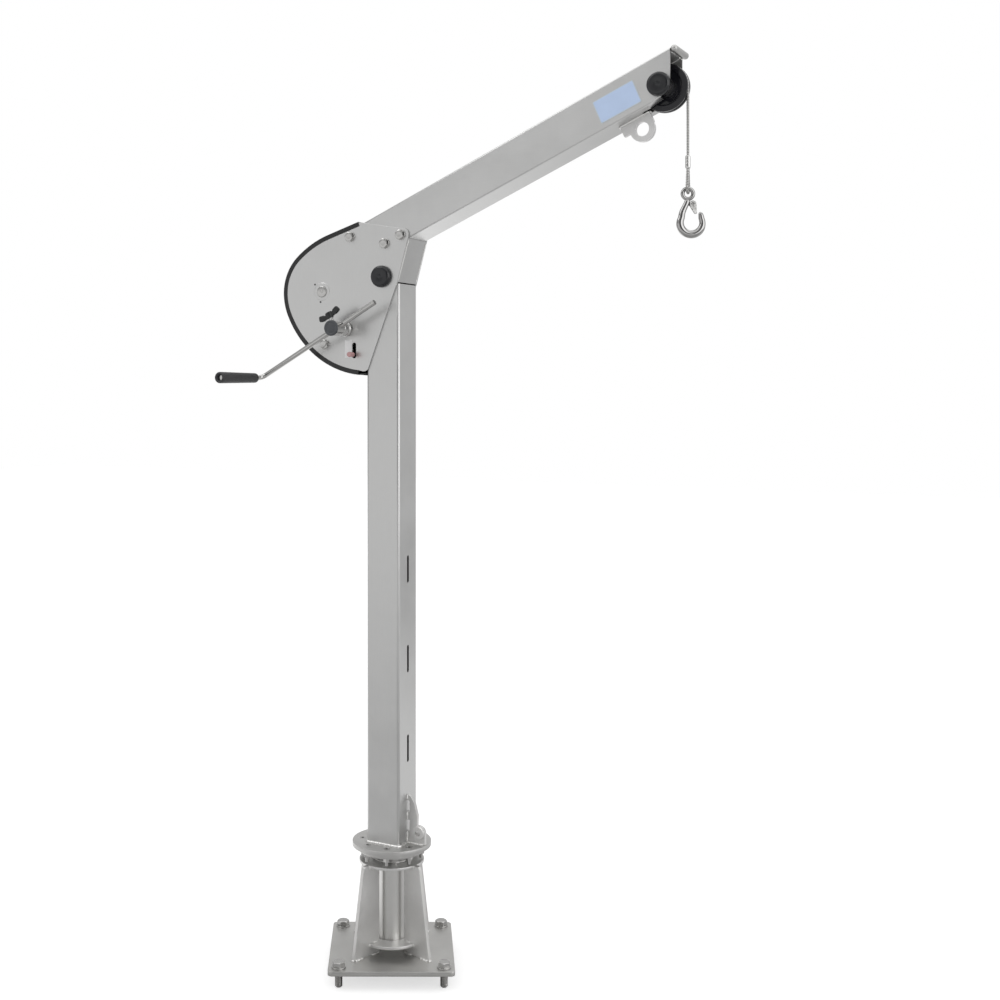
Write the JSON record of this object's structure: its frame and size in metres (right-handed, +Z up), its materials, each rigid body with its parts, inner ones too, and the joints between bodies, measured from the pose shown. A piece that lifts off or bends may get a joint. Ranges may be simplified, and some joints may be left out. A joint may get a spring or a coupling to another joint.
{
  "type": "davit crane",
  "caption": "Stainless slewing davit crane with a bolted foot, square mast, hand crank winch, tilted boom, tip sheave and a wire rope with a latched hook.",
  "frame": {"origin": "centre of the base plate's underside, on the slewing axis", "axes": "+Z up along the slewing axis, +X along the boom at rest, the crank on the -Y side"},
  "size_m": [0.9819, 0.4195, 1.9061],
  "materials": {
    "stainless_satin": "satin",
    "stainless_polished": "polished",
    "wire_rope": "bright stranded wire",
    "gear_steel": "greased",
    "bush_bronze": "plain",
    "black_plastic": "semi-gloss black",
    "grip_rubber": "matte",
    "lever_plastic": "matte",
    "plate_blue": "matte",
    "plate_white": "matte"
  },
  "bodies": {
    "foot": {"base_plate": "stainless_satin", "gusset_front": "stainless_satin", "gusset_right": "stainless_satin", "gusset_back": "stainless_satin", "gusset_left": "stainless_satin", "upper_ring": "stainless_satin", "lower_ring": "stainless_satin", "swivel_bushes": "bush_bronze", "anchor_bolts": "stainless_polished", "anchor_washers": "stainless_polished"},
    "column": {"swivel_stem": "stainless_satin", "stem_flange": "stainless_satin", "mast_flange": "stainless_satin", "flange_screws": "stainless_polished", "flange_nuts": "stainless_polished", "mast_tube": "stainless_satin", "foot_rib": "stainless_satin", "side_plate_front": "stainless_satin", "side_plate_back": "stainless_satin", "case_cover": "black_plastic", "knee_plate": "stainless_satin", "boom_tube": "stainless_satin", "plate_bolts": "stainless_polished", "plate_nuts": "stainless_polished", "plate_spacers": "stainless_satin", "head_pin": "stainless_satin", "pin_caps": "black_plastic", "tip_axle": "stainless_satin", "tip_bar": "stainless_polished", "pad_eye": "stainless_satin", "rating_plate": "plate_blue", "lock_plate": "plate_white", "drum_axle": "stainless_polished", "crank_bushes": "bush_bronze", "lever_pin": "stainless_polished", "rope_run": "wire_rope", "rope_drop": "wire_rope"},
    "drum": {"drum_barrel": "stainless_satin", "drum_gear": "gear_steel", "rope_winding": "wire_rope"},
    "crank": {"crank_shaft": "stainless_polished", "pinion": "gear_steel", "lock_wheel": "gear_steel", "brake_discs": "gear_steel", "crank_hub": "stainless_polished", "hub_cap": "black_plastic"},
    "clamp_screw": {"wing_screw": "stainless_polished", "wing_knob": "black_plastic"},
    "crank_arm": {"crank_rod": "stainless_polished"},
    "grip": {"crank_grip": "grip_rubber"},
    "lever": {"lock_lever": "stainless_satin", "lever_cap": "lever_plastic"},
    "sheave": {"tip_sheave": "black_plastic"},
    "hoist": {"rope_ferrule": "stainless_polished", "rope_eye": "wire_rope", "thimble": "stainless_polished"},
    "hook": {"lifting_hook": "stainless_polished"},
    "latch": {"hook_latch": "stainless_polished"}
  },
  "joints": [
    {"name": "slew", "type": "hinge", "parent": "foot", "child": "column", "pos_m": [0, 0, 0.2], "axis": [0, 0, 1], "continuous": true},
    {"name": "crank_turn", "type": "hinge", "parent": "column", "child": "crank", "pos_m": [-0.08929, 0, 1.3469], "axis": [0, 1, 0], "range_deg": [-7540, 420]},
    {"name": "drum_turn", "type": "hinge", "parent": "column", "child": "drum", "pos_m": [-0.151, 0, 1.4303], "axis": [0, 1, 0], "range_deg": [-144, 2558]},
    {"name": "sheave_turn", "type": "hinge", "parent": "column", "child": "sheave", "pos_m": [0.612, 0, 1.80214], "axis": [0, 1, 0], "range_deg": [-106, 1886]},
    {"name": "hook_lift", "type": "slide", "parent": "column", "child": "hoist", "axis": [0, 0, 1], "range_m": [-1.464, 0.082], "deforming": ["rope_drop"]},
    {"name": "hook_swing", "type": "hinge", "parent": "hoist", "child": "hook", "pos_m": [0.6565, 0, 1.59374], "axis": [0.4848, -0.8746, 0], "range_deg": [-40, 40]},
    {"name": "latch_open", "type": "hinge", "parent": "hook", "child": "latch", "pos_m": [0.66481, 0.00461, 1.57424], "axis": [0.4848, -0.8746, 0], "range_deg": [-38, 0], "stiffness_Nm_per_rad": 0.02, "springref_deg": 20.05},
    {"name": "arm_slide", "type": "slide", "parent": "crank", "child": "crank_arm", "axis": [0.8763, 0, 0.4818], "range_m": [-0.07, 0.09]},
    {"name": "clamp_turn", "type": "hinge", "parent": "crank", "child": "clamp_screw", "pos_m": [-0.08929, -0.086, 1.3469], "axis": [-0.4818, 0, 0.8763], "range_deg": [0, 720]},
    {"name": "grip_spin", "type": "hinge", "parent": "crank_arm", "child": "grip", "pos_m": [-0.28208, -0.176, 1.24091], "axis": [0, 1, 0], "continuous": true},
    {"name": "lock_swing", "type": "hinge", "parent": "column", "child": "lever", "pos_m": [-0.10829, -0.0125, 1.3], "axis": [0, -1, 0], "range_deg": [0, 30]}
  ],
  "couplings": [
    {"joint": "drum_turn", "follows": "crank_turn", "ratio": -0.33871},
    {"joint": "sheave_turn", "follows": "crank_turn", "ratio": -0.24966},
    {"joint": "hook_lift", "follows": "crank_turn", "m_per_rad": 0.01111}
  ]
}
